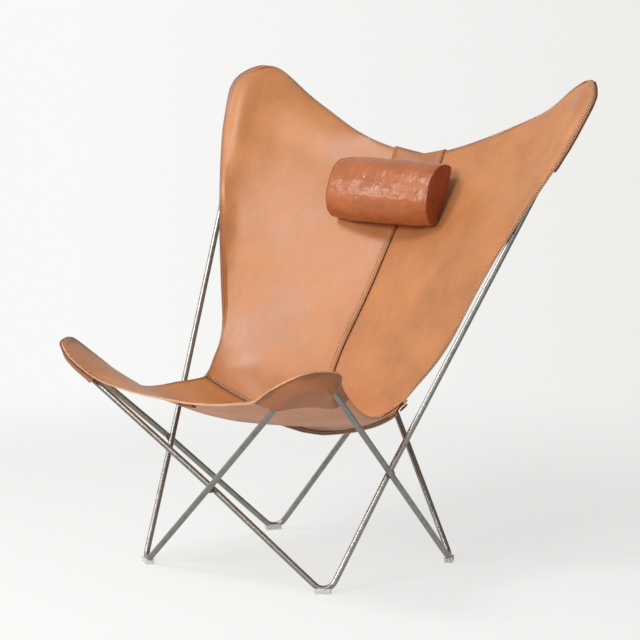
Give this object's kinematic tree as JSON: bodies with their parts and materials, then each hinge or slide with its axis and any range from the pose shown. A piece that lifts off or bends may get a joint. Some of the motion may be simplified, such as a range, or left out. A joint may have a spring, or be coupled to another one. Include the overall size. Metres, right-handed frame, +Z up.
{
  "type": "lounge chair",
  "caption": "Butterfly lounge chair: a leather sling hung by pockets on a folded-wire frame of welded steel rod loops, with a strap-hung bolster headrest.",
  "frame": {"origin": "floor point under the middle of the chair's bounding box", "axes": "+Z up, -Y towards the sitter's knees, +X to the right as seen from the front"},
  "size_m": [0.9502, 0.8406, 0.983],
  "materials": {
    "steel_rod": "satin stainless rod",
    "weld_metal": "ground weld bead, a little heat tinted",
    "clear_plastic": "milky clip-on glide",
    "sling_leather": "smooth natural tan saddle leather with fine grain",
    "pocket_leather": "natural tan leather, pale at its cut edges",
    "waxed_thread": "waxed sewing thread",
    "headrest_leather": "glossy cognac leather",
    "foam": "upholstery foam",
    "strap_leather": "brown strap leather",
    "bar_steel": "plain steel bar"
  },
  "bodies": {
    "chair": {"left_loop_rod": "steel_rod", "right_loop_rod": "steel_rod", "front_left_glide": "clear_plastic", "front_right_glide": "clear_plastic", "rear_left_glide": "clear_plastic", "rear_right_glide": "clear_plastic", "front_weld": "weld_metal", "back_weld": "weld_metal", "left_weld": "weld_metal", "right_weld": "weld_metal", "left_back_panel": "sling_leather", "right_back_panel": "sling_leather", "seat_panel": "sling_leather", "left_ear_pocket": "pocket_leather", "right_ear_pocket": "pocket_leather", "left_knee_pocket": "pocket_leather", "right_knee_pocket": "pocket_leather", "left_top_strip": "pocket_leather", "right_top_strip": "pocket_leather", "left_seam_tab": "pocket_leather", "right_seam_tab": "pocket_leather", "front_edge_tab": "pocket_leather", "left_ear_thread": "waxed_thread", "right_ear_thread": "waxed_thread", "left_knee_thread": "waxed_thread", "right_knee_thread": "waxed_thread", "middle_seam_thread": "waxed_thread", "seat_seam_thread": "waxed_thread", "headrest_strap": "strap_leather"},
    "headrest": {"headrest_cover": "headrest_leather", "headrest_foam": "foam", "headrest_left_cap": "headrest_leather", "headrest_right_cap": "headrest_leather", "headrest_left_piping": "headrest_leather", "headrest_right_piping": "headrest_leather"},
    "counterweight": {"counterweight_pouch": "strap_leather", "counterweight_bar": "bar_steel"}
  },
  "joints": [
    {"name": "headrest_slide", "type": "slide", "parent": "chair", "child": "headrest", "axis": [0, 0.565, 0.8251], "range_m": [-0.09, 0.02], "deforming": ["headrest_strap"]},
    {"name": "counterweight_slide", "type": "slide", "parent": "chair", "child": "counterweight", "axis": [0, 0, 1], "range_m": [-0.02, 0.09]}
  ],
  "couplings": [
    {"joint": "counterweight_slide", "follows": "headrest_slide", "ratio": -1}
  ]
}
